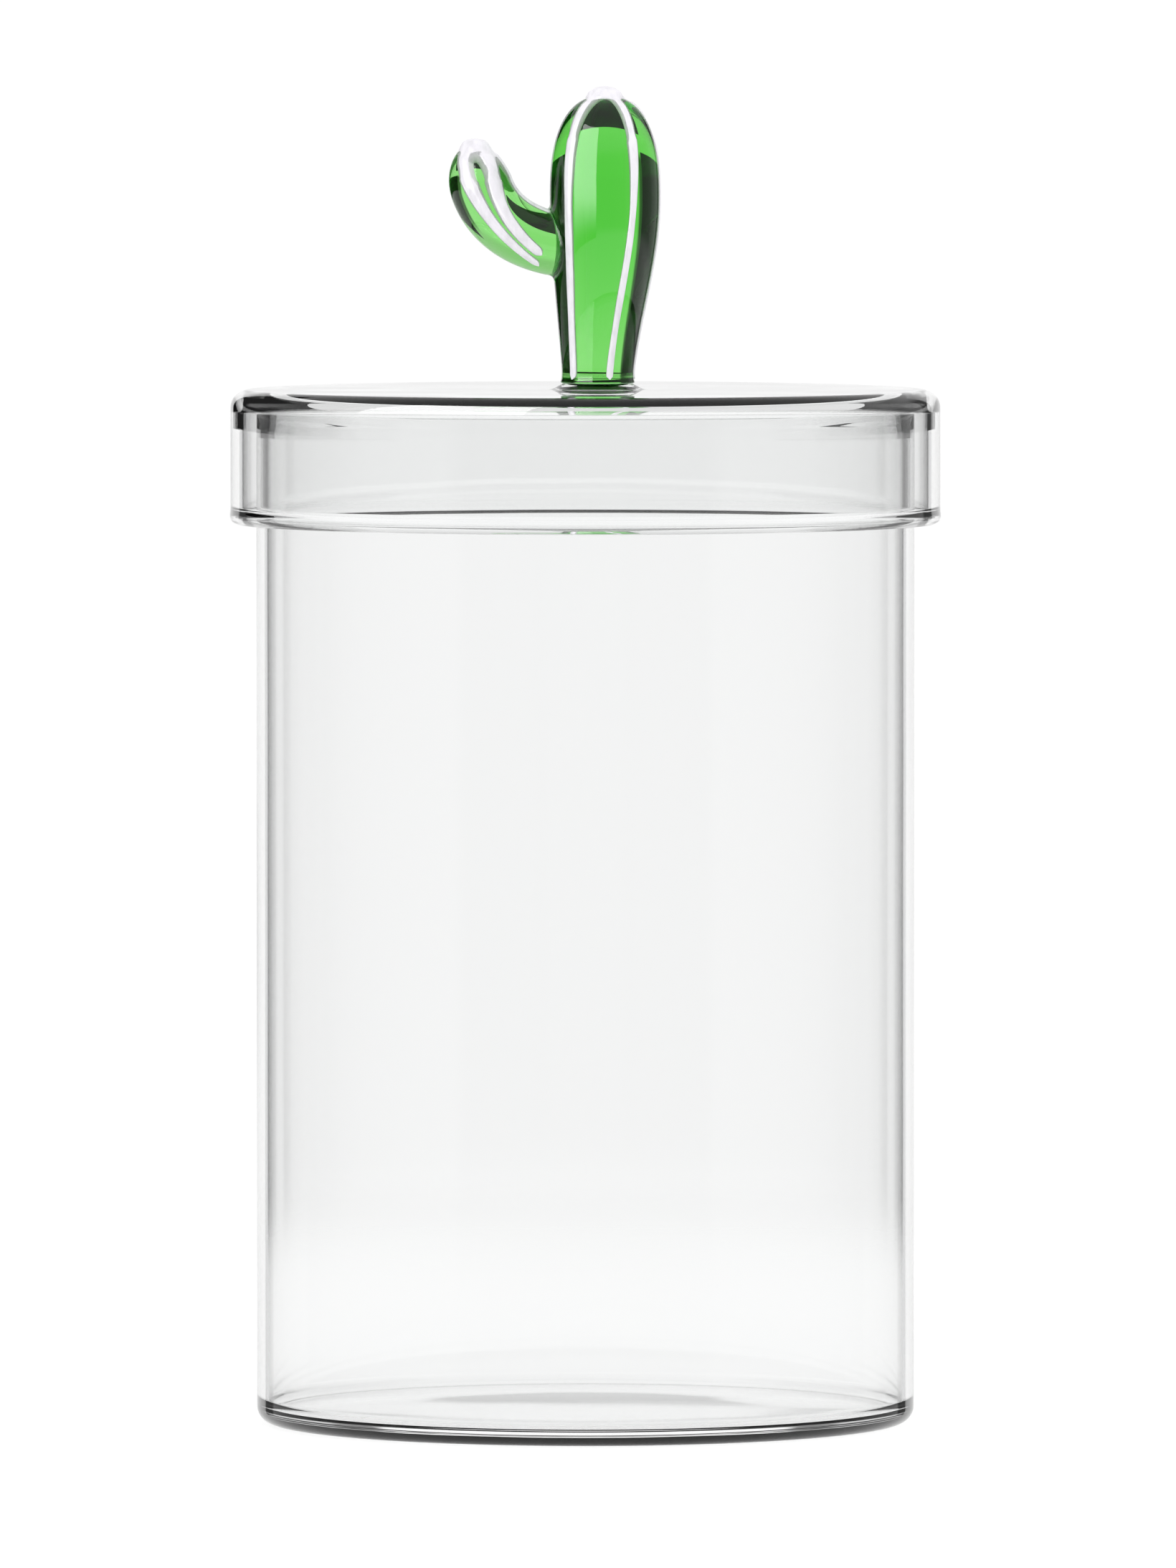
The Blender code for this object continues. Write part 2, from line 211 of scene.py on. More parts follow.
class Board:
    """A node tree that is being wired."""

    def __init__(self, tree):
        self.tree = tree

    def node(self, kind, settings=None, sockets=None):
        """Any node: its settings are set first, then the values or wires of its sockets."""
        made = self.tree.nodes.new(kind)
        for name, value in (settings or {}).items():
            setattr(made, name, value)
        for name, value in (sockets or {}).items():
            if isinstance(value, Wire):
                self.tree.links.new(value.socket, made.inputs[name])
            else:
                made.inputs[name].default_value = value
        return made

    def wire(self, node, output=0):
        return Wire(self, node.outputs[output])

    def math(self, operation, *values):
        return self.wire(self.node("ShaderNodeMath", {"operation": operation}, dict(enumerate(values))))

    def noise(self, place, scale, detail=2.0):
        made = self.node("ShaderNodeTexNoise", None, {"Vector": place, "Scale": scale, "Detail": detail})
        return self.wire(made, 0)


def new_material(name):
    material = bpy.data.materials.new(name)
    material.use_nodes = True
    material.node_tree.nodes.clear()
    return material, Board(material.node_tree)


def geometry_tree(name, inputs):
    """A Geometry Nodes tree with these (name, socket type, default) inputs after its geometry."""
    tree = bpy.data.node_groups.new(name, "GeometryNodeTree")
    tree.interface.new_socket("Geometry", in_out="INPUT", socket_type="NodeSocketGeometry")
    tree.interface.new_socket("Geometry", in_out="OUTPUT", socket_type="NodeSocketGeometry")
    for label, kind, default in inputs:
        socket = tree.interface.new_socket(label, in_out="INPUT", socket_type=kind)
        if default is not None:
            socket.default_value = default
    board = Board(tree)
    return tree, board, board.node("NodeGroupInput")


def finish_tree(board, geometry, given):
    """Ends a tree: smooth shading, real geometry and its material."""
    smooth = board.node("GeometryNodeSetShadeSmooth", None, {"Geometry": geometry})
    real = board.node("GeometryNodeRealizeInstances", None, {"Geometry": board.wire(smooth)})
    material = board.wire(given, "Material")
    coloured = board.node(
        "GeometryNodeSetMaterial", None, {"Geometry": board.wire(real), "Material": material}
    )
    board.node("NodeGroupOutput", None, {"Geometry": board.wire(coloured)})


def grown(source, tree, values):
    """The mesh that a tree makes from a source object, which is used up."""
    modifier = source.modifiers.new(tree.name, "NODES")
    modifier.node_group = tree
    for item in tree.interface.items_tree:
        if item.in_out == "INPUT" and item.name in values:
            modifier[item.identifier] = values[item.name]
    bpy.context.view_layer.update()
    evaluated = source.evaluated_get(bpy.context.evaluated_depsgraph_get())
    mesh = bpy.data.meshes.new_from_object(evaluated)
    source_mesh = source.data
    bpy.data.objects.remove(source)
    bpy.data.meshes.remove(source_mesh)
    return mesh


def piece(name, mesh, body, slot, *nodes):
    """A finished piece that rides on a body and stands for its CAD nodes."""
    mesh.name = name
    made = bpy.data.objects.new(name, mesh)
    bpy.context.scene.collection.objects.link(made)
    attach(made, body)
    if nodes:
        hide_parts(*nodes)
    return made


def line_object(name, points, attributes=None):
    """A line of points, with values for each point that a tree can read."""
    mesh = bpy.data.meshes.new(name)
    mesh.from_pydata([tuple(point) for point in points], [(i, i + 1) for i in range(len(points) - 1)], [])
    for label, (kind, values) in (attributes or {}).items():
        attribute = mesh.attributes.new(label, kind, "POINT")
        for item, value in zip(attribute.data, values):
            if kind == "FLOAT":
                item.value = value
            else:
                item.vector = value
    made = bpy.data.objects.new(name, mesh)
    bpy.context.scene.collection.objects.link(made)
    return made


def outward(mesh):
    """Closes a mesh's seams and poles and turns its faces outwards."""
    work = bmesh.new()
    work.from_mesh(mesh)
    bmesh.ops.remove_doubles(work, verts=work.verts, dist=SAME_PLACE)
    bmesh.ops.dissolve_degenerate(work, edges=work.edges, dist=SAME_PLACE / 2)
    bmesh.ops.recalc_face_normals(work, faces=work.faces)
    if work.calc_volume(signed=True) < 0:
        bmesh.ops.reverse_faces(work, faces=work.faces)
    work.to_mesh(mesh)
    work.free()
    mesh.shade_smooth()
    return mesh


# ---------------------------------------------------------------- glasses


def clear_glass():
    """Blown clear glass: its surface has long faint waves from the turning."""
    found = bpy.data.materials.get("clear_blown_glass")
    if found:
        return found
    colours = bpy.context.scene.jar_glasses
    material, board = new_material("clear_blown_glass")
    place = board.wire(board.node("ShaderNodeTexCoord"), "Object")
    drawn = board.node("ShaderNodeMapping", None, {"Vector": place, "Scale": (1, 1, 0.35)})
    waves = board.noise(board.wire(drawn), 38.0, 1.0)
    bump = board.node("ShaderNodeBump", None, {"Strength": 0.10, "Distance": BUMP_DEPTH, "Height": waves})
    shader = board.node(
        "ShaderNodeBsdfPrincipled",
        None,
        {
            "Base Color": (*colours.clear, 1),
            "Roughness": 0.0,
            "IOR": colours.ior,
            "Transmission Weight": 1.0,
            "Normal": board.wire(bump),
        },
    )
    board.node("ShaderNodeOutputMaterial", None, {"Surface": board.wire(shader)})
    return material


def green_glass():
    """Solid green glass: its colour deepens with the way that light takes through it."""
    found = bpy.data.materials.get("green_solid_glass")
    if found:
        return found
    colours = bpy.context.scene.jar_glasses
    material, board = new_material("green_solid_glass")
    place = board.wire(board.node("ShaderNodeTexCoord"), "Object")
    waves = board.noise(place, 160.0, 1.0)
    bump = board.node("ShaderNodeBump", None, {"Strength": 0.12, "Distance": BUMP_DEPTH, "Height": waves})
    shader = board.node(
        "ShaderNodeBsdfPrincipled",
        None,
        {
            "Base Color": (0.97, 1.0, 0.96, 1),
            "Roughness": 0.0,
            "IOR": colours.ior,
            "Transmission Weight": 1.0,
            "Normal": board.wire(bump),
        },
    )
    depth = board.node(
        "ShaderNodeVolumeAbsorption", None, {"Color": (*colours.green, 1), "Density": colours.green_depth}
    )
    board.node(
        "ShaderNodeOutputMaterial", None, {"Surface": board.wire(shader), "Volume": board.wire(depth)}
    )
    return material


def white_glass():
    """Opal glass: milky and glossy, with faint grey streaks where it was drawn thin."""
    found = bpy.data.materials.get("white_opal_glass")
    if found:
        return found
    colours = bpy.context.scene.jar_glasses
    material, board = new_material("white_opal_glass")
    place = board.wire(board.node("ShaderNodeTexCoord"), "Object")
    drawn = board.node("ShaderNodeMapping", None, {"Vector": place, "Scale": (1, 1, 0.3)})
    streaks = board.noise(board.wire(drawn), 900.0, 3.0)
    lumps = board.noise(place, 450.0, 2.0)
    thin = tuple(0.86 * channel for channel in colours.white)
    tone = board.node(
        "ShaderNodeMix",
        {"data_type": "RGBA"},
        {0: streaks.between(0.40, 0.80), 6: (*colours.white, 1), 7: (*thin, 1)},
    )
    bump = board.node("ShaderNodeBump", None, {"Strength": 0.25, "Distance": BUMP_DEPTH, "Height": lumps})
    shader = board.node(
        "ShaderNodeBsdfPrincipled",
        None,
        {
            "Base Color": board.wire(tone, 2),
            "Roughness": 0.12 + 0.1 * lumps,
            "IOR": 1.5,
            "Normal": board.wire(bump),
        },
    )
    board.node("ShaderNodeOutputMaterial", None, {"Surface": board.wire(shader)})
    return material


# ---------------------------------------------------------------- turned glass

AXIS_R = 0.001  # radius of the ring that a profile is swept round
WAVE_SCALE = 26.0  # waves of the blown surface per metre
WELD_SINK = 0.00002  # from the top of the lid's mound to the knob's foot


def arc(centre, radius, start, end, steps=14):
    """Points (radius, height) on an arc, from start to end in degrees, where 0 points outwards."""
    angles = [math.radians(start + (end - start) * i / steps) for i in range(steps + 1)]
    return [(centre[0] + radius * math.cos(a), centre[1] + radius * math.sin(a)) for a in angles]


def finer(outline, longest=0.0045, edge=0.0001):
    """The outline with points added on its long straight stretches, the first close to each end."""
    points = [outline[0]]
    for start, end in zip(outline, outline[1:]):
        a, b = Vector(start), Vector(end)
        span = (b - a).length
        if span > 4 * edge:
            count = max(math.ceil(span / longest), 1)
            shares = [edge / span, *(i / count for i in range(1, count)), 1 - edge / span]
            points += [tuple(a.lerp(b, share)) for share in shares]
        points.append(end)
    return points


def turning_tree():
    """Sweeps an outline round the axis and lets its surface stray a little, as blown glass does."""
    tree, board, given = geometry_tree(
        "Turned Glass",
        [
            ("Segments", "NodeSocketInt", 256),
            ("Axis Radius", "NodeSocketFloat", AXIS_R),
            ("Waviness", "NodeSocketFloat", 0.0),
            ("Wave Scale", "NodeSocketFloat", WAVE_SCALE),
            ("Weld Height", "NodeSocketFloat", 0.0),
            ("Weld Place", "NodeSocketVector", None),
            ("Weld Top", "NodeSocketFloat", 0.005),
            ("Weld Foot", "NodeSocketFloat", 0.007),
            ("Material", "NodeSocketMaterial", None),
        ],
    )
    outline = board.node("GeometryNodeMeshToCurve", None, {"Mesh": board.wire(given, "Geometry")})
    ring = board.node(
        "GeometryNodeCurvePrimitiveCircle",
        None,
        {"Resolution": board.wire(given, "Segments"), "Radius": board.wire(given, "Axis Radius")},
    )
    swept = board.node(
        "GeometryNodeCurveToMesh", None, {"Curve": board.wire(ring), "Profile Curve": board.wire(outline)}
    )
    closed = board.node(
        "GeometryNodeMergeByDistance", None, {"Geometry": board.wire(swept), "Distance": SAME_PLACE}
    )
    position = board.wire(board.node("GeometryNodeInputPosition"))
    stray = board.noise(position, board.wire(given, "Wave Scale"), 1.0) - 0.5
    amount = stray * 2.0 * board.wire(given, "Waviness")
    parts = board.node("ShaderNodeSeparateXYZ", None, {"Vector": position})
    x, y, z = (board.wire(parts, axis) for axis in "XYZ")
    flat = board.node("ShaderNodeCombineXYZ", None, {"X": x, "Y": y})
    outwards = board.node("ShaderNodeVectorMath", {"operation": "NORMALIZE"}, {0: board.wire(flat)})
    offset = board.node(
        "ShaderNodeVectorMath", {"operation": "SCALE"}, {0: board.wire(outwards), "Scale": amount}
    )
    strayed = board.node(
        "GeometryNodeSetPosition", None, {"Geometry": board.wire(closed), "Offset": board.wire(offset)}
    )
    weld = board.wire(given, "Weld Place")
    away = board.node("ShaderNodeVectorMath", {"operation": "DISTANCE"}, {0: position, 1: weld})
    near = 1 - board.wire(away, "Value").between(
        board.wire(given, "Weld Top"), board.wire(given, "Weld Foot")
    )
    lift = board.node("ShaderNodeCombineXYZ", None, {"Z": near * near * board.wire(given, "Weld Height")})
    weld_level = board.node("ShaderNodeSeparateXYZ", None, {"Vector": weld})
    on_top = board.math("GREATER_THAN", z, board.wire(weld_level, "Z") - 0.0001)
    raised = board.node(
        "GeometryNodeSetPosition",
        None,
        {"Geometry": board.wire(strayed), "Selection": on_top, "Offset": board.wire(lift)},
    )
    finish_tree(board, board.wire(raised), given)
    return tree


def turned(name, outline, material, sizes, weld=None):
    """An outline swept round the axis. weld sets the mound where the knob is melted on."""
    source = line_object(name, [(radius - AXIS_R, -height, 0) for radius, height in finer(outline)])
    values = {
        "Segments": sizes.segments,
        "Axis Radius": AXIS_R,
        "Waviness": sizes.waviness,
        "Wave Scale": WAVE_SCALE,
        "Material": material,
        **(weld or {}),
    }
    return outward(grown(source, turning_tree(), values))


def jar_outline(sizes):
    """From the inside floor, up the inside wall, over the melted rim and down to the raised base."""
    outer, top = JAR_HIGH.x, JAR_HIGH.z
    inner = outer - sizes.wall
    ring_outer = outer - sizes.heel
    ring_inner = ring_outer - sizes.ring
    floor_edge = inner - sizes.inner_heel
    lip = (sizes.wall + sizes.rim_swell) / 2
    swell_bottom = top - 5 * lip
    raised = [i / 24 for i in range(24)]

    def push_up(share):
        return sizes.push_up * math.cos(math.pi / 2 * share) ** 2

    floor = [(floor_edge * share, sizes.base + push_up(share)) for share in raised]
    swell = [
        (inner - sizes.rim_swell * (1 - math.cos(math.pi * i / 10)) / 2, swell_bottom + 3.9 * lip * i / 10)
        for i in range(10)
    ]
    base = [(ring_inner * share, push_up(share)) for share in reversed(raised)]
    return [
        *floor,
        *arc((floor_edge, sizes.base + sizes.inner_heel), sizes.inner_heel, -90, 0),
        *swell,
        *arc((outer - lip, top - lip), lip, 180, 0, 20),
        *arc((ring_outer, sizes.heel), sizes.heel, 0, -90),
        (ring_inner, 0),
        *base,
    ]


def lid_outline(sizes):
    """From the middle of the top, down the skirt, round its bead and back under the plate."""
    top, bottom = LID_HIGH.z, LID_LOW.z
    outer = LID_HIGH.x - sizes.bead_out
    inner = outer - sizes.skirt
    bead_top = bottom + sizes.bead
    tip = (sizes.skirt + sizes.bead_out + sizes.bead_in) / 2
    tip_centre = (outer + sizes.bead_out - tip, bottom + tip)
    underside = top - sizes.plate
    corner = inner - sizes.inner_shoulder
    neck = [i / 8 for i in range(8)]
    under_knob = [(0.0003 * i, top) for i in range(34)]  # close rings, which the weld's mound needs

    def ease(share):
        return (1 - math.cos(math.pi * share)) / 2

    outside = [(outer + sizes.bead_out * ease(s), bead_top + (tip_centre[1] - bead_top) * s) for s in neck]
    inside = [(inner - sizes.bead_in * ease(s), bead_top + (tip_centre[1] - bead_top) * s) for s in neck]
    return [
        *under_knob,
        *arc((outer - sizes.shoulder, top - sizes.shoulder), sizes.shoulder, 90, 0),
        *outside,
        *arc(tip_centre, tip, 0, -180, 24),
        *reversed(inside),
        *arc((corner, underside - sizes.inner_shoulder), sizes.inner_shoulder, 0, 90),
        (0, underside),
    ]


# ---------------------------------------------------------------- the cactus's shape

STEM_FOOT = Vector(((PAD_LOW.x + PAD_HIGH.x) / 2, 0, STEM_LOW.z))
STEM_BELLY_R = (STEM_HIGH.y - STEM_LOW.y) / 2
WELD_R = (PAD_HIGH.x - PAD_LOW.x) / 2
BEAD_PROUD = 0.45  # share of a tip bead's height that stands out of its glass
STEM_TOP = STEM_TIP_HIGH.z - BEAD_PROUD * (STEM_TIP_HIGH.z - STEM_TIP_LOW.z)
STEM_HEIGHT = STEM_TOP - STEM_FOOT.z
ARM_END = Vector(
    (
        (ARM_TIP_LOW.x + ARM_TIP_HIGH.x) / 2,
        0,
        ARM_TIP_HIGH.z - BEAD_PROUD * (ARM_TIP_HIGH.z - ARM_TIP_LOW.z),
    )
)
STEM_SWELL = 1.35  # how late the stem widens: 1 is a plain quarter sine
STEM_DOME_POWER = 2.5  # roundness of the top: 2 is an ellipse
ARM_BEND_POWER = 2.6  # squareness of the bend: 2 is an ellipse
ARM_DOME_POWER = 1.9
FOOT_ROUND = 0.00025  # rounding of the stem's lower edge


def dome(radius, start, end, power, rings):
    """(radius, distance along the axis) from just past the widest place to the tip."""
    angles = [math.pi / 2 * (i + 1) / rings for i in range(rings)]
    points = [
        (
            radius * max(math.cos(a), 0) ** (2 / power),
            start + (end - start) * math.sin(a) ** (2 / power),
        )
        for a in angles
    ]
    return [*points[:-1], (0, end)]


def stem_radius(sizes, height):
    share = min(max(height, 0) / sizes.belly_height, 1)
    swell = math.sin(math.pi / 2 * share**STEM_SWELL)
    flare = max(1 - height / sizes.flare_height, 0) ** 2
    return sizes.foot + (STEM_BELLY_R - sizes.foot) * swell + sizes.flare * flare


def stem_sides(sizes, rings=60):
    """(radius, height) of the stem from just above its foot to its tip."""
    low = 0.0002
    heights = [low + (sizes.belly_height - low) * i / rings for i in range(rings + 1)]
    sides = [(stem_radius(sizes, height), height) for height in heights]
    return sides + dome(STEM_BELLY_R, sizes.belly_height, STEM_HEIGHT, STEM_DOME_POWER, 48)


def stem_axis(sizes, height):
    share = min(max(height / sizes.belly_height, 0), 1)
    return STEM_FOOT + Vector((sizes.sway * (1 - math.cos(math.pi * share)) / 2, 0, height))


class ArmAxis:
    """The arm's axis: a quarter of a rounded square from the stem's axis to the arm's tip."""

    def __init__(self, sizes, steps=160):
        root = stem_axis(sizes, sizes.arm_root_height)
        reach = root.x - ARM_END.x
        rise = ARM_END.z - root.z
        power = 2 / ARM_BEND_POWER
        self.points = []
        for i in range(steps + 1):
            angle = math.pi / 2 * i / steps
            along = math.sin(angle) ** power
            up = 1 - max(math.cos(angle), 0) ** power
            self.points.append(root + Vector((-reach * along, 0, rise * up)))
        self.length = sum((b - a).length for a, b in zip(self.points, self.points[1:]))

    def at(self, distance):
        for a, b in zip(self.points, self.points[1:]):
            step = (b - a).length
            if distance <= step or b is self.points[-1]:
                return a + (b - a) * (distance / step)
            distance -= step
        return self.points[-1]


def arm_sides(sizes, axis, rings=60):
    """(radius, distance) of the arm from inside the stem to its tip."""
    start = 0.003
    shoulder = axis.length - sizes.arm_dome
    sides = []
    for i in range(rings + 1):
        share = i / rings
        along = start + (shoulder - start) * share
        sides.append((sizes.arm_root + (sizes.arm_tip - sizes.arm_root) * along / shoulder, along))
    return sides + dome(sizes.arm_tip, shoulder, axis.length, ARM_DOME_POWER, 40)


def sweep_tree():
    """Sweeps a round section along a line. The section's radius is the line's own thickness."""
    tree, board, given = geometry_tree(
        "Drawn Glass",
        [("Sides", "NodeSocketInt", 96), ("Material", "NodeSocketMaterial", None)],
    )
    axis = board.node("GeometryNodeMeshToCurve", None, {"Mesh": board.wire(given, "Geometry")})
    section = board.node(
        "GeometryNodeCurvePrimitiveCircle", None, {"Resolution": board.wire(given, "Sides"), "Radius": 1.0}
    )
    thickness = board.node("GeometryNodeInputNamedAttribute", {"data_type": "FLOAT"}, {"Name": "thickness"})
    swept = board.node(
        "GeometryNodeCurveToMesh",
        None,
        {
            "Curve": board.wire(axis),
            "Profile Curve": board.wire(section),
            "Scale": board.wire(thickness),
            "Fill Caps": True,
        },
    )
    closed = board.node(
        "GeometryNodeMergeByDistance", None, {"Geometry": board.wire(swept), "Distance": SAME_PLACE}
    )
    finish_tree(board, board.wire(closed), given)
    return tree


def swept_body(name, path, radii, material, sides=112):
    source = line_object(name, path, {"thickness": ("FLOAT", radii)})
    return outward(grown(source, sweep_tree(), {"Sides": sides, "Material": material}))


def joined(*meshes):
    """The union of meshes as one closed mesh."""
    objects = [bpy.data.objects.new(mesh.name, mesh) for mesh in meshes]
    for made in objects:
        bpy.context.scene.collection.objects.link(made)
    host = objects[0]
    for guest in objects[1:]:
        weld = host.modifiers.new("Weld", "BOOLEAN")
        weld.operation = "UNION"
        weld.solver = "EXACT"
        weld.object = guest
    bpy.context.view_layer.update()
    mesh = bpy.data.meshes.new_from_object(host.evaluated_get(bpy.context.evaluated_depsgraph_get()))
    for made in objects:
        bpy.data.objects.remove(made)
    return mesh


def melted(mesh, reach, lowest, rounds=14):
    """Smooths a mesh close to its sharp seams above a height, and leaves the rest as it is."""
    work = bmesh.new()
    work.from_mesh(mesh)
    bmesh.ops.remove_doubles(work, verts=work.verts, dist=2 * SAME_PLACE)
    seam = {
        vert
        for edge in work.edges
        if len(edge.link_faces) == 2 and edge.calc_face_angle(0) > math.radians(25)
        for vert in edge.verts
        if vert.co.z > lowest
    }
    tree = kdtree.KDTree(max(len(seam), 1))
    for i, vert in enumerate(seam):
        tree.insert(vert.co, i)
    tree.balance()
    near = [vert for vert in work.verts if seam and tree.find(vert.co)[2] < reach]
    for _ in range(rounds):
        bmesh.ops.smooth_vert(
            work, verts=near, factor=0.5, use_axis_x=True, use_axis_y=True, use_axis_z=True
        )
    work.to_mesh(mesh)
    work.free()
    return outward(mesh)


# ---------------------------------------------------------------- white lines

STEM_LINES = (  # degrees round the stem at a line's foot, middle and top, and its share of the usual width
    (-45, -41, -43, 1.15),
    (20, 30, 34, 0.88),
    (96, 98, 99, 1.0),
    (150, 153, 156, 0.95),
    (236, 239, 241, 1.08),
)
ARM_LINES = (  # the same for the arm
    (-50, -15, -45, 0.95),
    (-23, 22, 38, 1.2),
    (72, 86, 96, 1.0),
    (148, 148, 150, 1.05),
    (238, 234, 242, 0.95),
)


def through(root, middle, tip, share):
    """The value at this share of the way on the parabola through three evenly spaced values."""
    return (
        root * (1 - share) * (1 - 2 * share)
        + middle * 4 * share * (1 - share)
        + tip * share * (2 * share - 1)
    )


def line_tree():
    """Sweeps a flattened section along a line that lies on glass.

    Each point has its own thickness, and lie, the direction out of the glass under it."""
    tree, board, given = geometry_tree(
        "Laid Line",
        [
            ("Sides", "NodeSocketInt", 20),
            ("Flatness", "NodeSocketFloat", 0.6),
            ("Material", "NodeSocketMaterial", None),
        ],
    )
    position = board.wire(board.node("GeometryNodeInputPosition"))
    kept = board.node(
        "GeometryNodeStoreNamedAttribute",
        {"data_type": "FLOAT_VECTOR", "domain": "POINT"},
        {"Geometry": board.wire(given, "Geometry"), "Name": "middle", "Value": position},
    )
    path = board.node("GeometryNodeMeshToCurve", None, {"Mesh": board.wire(kept)})
    section = board.node(
        "GeometryNodeCurvePrimitiveCircle", None, {"Resolution": board.wire(given, "Sides"), "Radius": 1.0}
    )
    thickness = board.node("GeometryNodeInputNamedAttribute", {"data_type": "FLOAT"}, {"Name": "thickness"})
    swept = board.node(
        "GeometryNodeCurveToMesh",
        None,
        {
            "Curve": board.wire(path),
            "Profile Curve": board.wire(section),
            "Scale": board.wire(thickness),
            "Fill Caps": True,
        },
    )
    middle = board.node(
        "GeometryNodeInputNamedAttribute", {"data_type": "FLOAT_VECTOR"}, {"Name": "middle"}
    )
    lie = board.node("GeometryNodeInputNamedAttribute", {"data_type": "FLOAT_VECTOR"}, {"Name": "lie"})
    away = board.node(
        "ShaderNodeVectorMath", {"operation": "SUBTRACT"}, {0: position, 1: board.wire(middle)}
    )
    height = board.node(
        "ShaderNodeVectorMath", {"operation": "DOT_PRODUCT"}, {0: board.wire(away), 1: board.wire(lie)}
    )
    squash = board.wire(height, "Value") * (board.wire(given, "Flatness") - 1.0)
    offset = board.node(
        "ShaderNodeVectorMath", {"operation": "SCALE"}, {0: board.wire(lie), "Scale": squash}
    )
    pressed = board.node(
        "GeometryNodeSetPosition", None, {"Geometry": board.wire(swept), "Offset": board.wire(offset)}
    )
    closed = board.node(
        "GeometryNodeMergeByDistance", None, {"Geometry": board.wire(pressed), "Distance": SAME_PLACE}
    )
    finish_tree(board, board.wire(closed), given)
    return tree


def laid_line(name, axis, sides, line, width, sizes):
    """A line on the glass of a round body, whose (radius, distance) along the line are sides."""
    *turns, spread = line
    path, widths, lies = [], [], []
    last = len(sides) - 1
    start, end = sides[0][1], sides[-1][1]
    for i, (radius, along) in enumerate(sides):
        share = (along - start) / (end - start)
        before, after = sides[max(i - 1, 0)], sides[min(i + 1, last)]
        slope = Vector((after[0] - before[0], after[1] - before[1])).normalized()
        ahead = (axis(along + AXIS_STEP) - axis(along - AXIS_STEP)).normalized()
        turn = math.radians(through(*turns, share)) + 0.02 * math.sin(along * 90 + spread * 40)
        outwards = math.cos(turn) * FRONT + math.sin(turn) * ahead.cross(FRONT)
        lie = (outwards * slope.y - ahead * slope.x).normalized()
        drift = noise.noise(Vector((along * 160, turn, 0)))
        half = width(share) * spread * (1 + sizes.wander * drift * 2)
        ending = min(along - start, half) / half
        half *= math.sqrt(max(1 - (1 - ending) ** 2, 0.02))
        depth = half * sizes.flatness - sizes.proud
        path.append(axis(along) + outwards * radius - lie * depth)
        widths.append(half)
        lies.append(lie)
    source = line_object(name, path, {"thickness": ("FLOAT", widths), "lie": ("FLOAT_VECTOR", lies)})
    values = {"Sides": 20, "Flatness": sizes.flatness, "Material": white_glass()}
    return outward(grown(source, line_tree(), values))


def drop(name, middle, radius, low, high, roundness):
    """A melted cap of white glass on an upright tip, from low below its middle to high above it."""
    mesh = bpy.data.meshes.new(name)
    work = bmesh.new()
    bmesh.ops.create_uvsphere(work, u_segments=48, v_segments=32, radius=1)
    for vert in work.verts:
        lump = 1 + 0.06 * noise.noise(vert.co * 1.7 + Vector((3, 1, 7)))
        flat = Vector((vert.co.x, vert.co.y, 0))
        across = flat * flat.length ** (2 / roundness - 1) * radius * lump if flat.length else flat
        share = abs(vert.co.z) ** (2 / roundness)
        vert.co = middle + across + Vector((0, 0, high * share if vert.co.z > 0 else -low * share))
    work.to_mesh(mesh)
    work.free()
    mesh.materials.append(white_glass())
    return outward(mesh)


# ---------------------------------------------------------------- operators


class JAR_OT_blow_jar(bpy.types.Operator):
    """Blow the clear jar"""

    bl_idname = "cactus_jar.blow_jar"
    bl_label = "Blow Jar"

    def execute(self, context):
        sizes = context.scene.jar_sizes
        mesh = turned("jar_glass", jar_outline(sizes), clear_glass(), sizes)
        made = piece("jar_glass", mesh, "jar", "clear_glass", "jar_body")
        made.visible_shadow = False
        return {"FINISHED"}


class JAR_OT_blow_lid(bpy.types.Operator):
    """Blow the clear lid, with the mound that its knob is melted on"""

    bl_idname = "cactus_jar.blow_lid"
    bl_label = "Blow Lid"

    def execute(self, context):
        sizes = context.scene.jar_sizes
        weld = {
            "Weld Height": STEM_FOOT.z - LID_HIGH.z - WELD_SINK,
            "Weld Place": (STEM_FOOT.x, 0, LID_HIGH.z),
            "Weld Top": WELD_R - sizes.weld / 2,
            "Weld Foot": WELD_R + sizes.weld,
        }
        mesh = turned("lid_glass", lid_outline(sizes), clear_glass(), sizes, weld)
        made = piece("lid_glass", mesh, "lid", "clear_glass", "lid_cap", "knob_pad")
        made.visible_shadow = False
        return {"FINISHED"}


class JAR_OT_shape_cactus(bpy.types.Operator):
    """Draw the green stem and arm and fuse them"""

    bl_idname = "cactus_jar.shape_cactus"
    bl_label = "Shape Cactus"

    def execute(self, context):
        sizes = context.scene.cactus_sizes
        foot_r = stem_radius(sizes, 0)
        foot = [  # all but flat
            (0, 0),
            (foot_r * 0.4, 0.0000012),
            (foot_r * 0.8, 0.0000024),
            *arc((foot_r - FOOT_ROUND, FOOT_ROUND), FOOT_ROUND, -80, 0, 6),
        ]
        sides = foot + [side for side in stem_sides(sizes) if side[1] > FOOT_ROUND * 1.2]
        axis = ArmAxis(sizes)
        arm = arm_sides(sizes, axis)
        material = green_glass()
        stem_path = [stem_axis(sizes, along) for _, along in sides]
        stem_mesh = swept_body("stem", stem_path, [radius for radius, _ in sides], material)
        arm_path = [axis.at(along) for _, along in arm]
        arm_mesh = swept_body("arm", arm_path, [radius for radius, _ in arm], material)
        mesh = melted(joined(stem_mesh, arm_mesh), sizes.fillet, STEM_FOOT.z + 0.01)
        made = piece("cactus_glass", mesh, "lid", "green_glass", "cactus_stem", "cactus_arm")
        made.visible_shadow = False
        return {"FINISHED"}


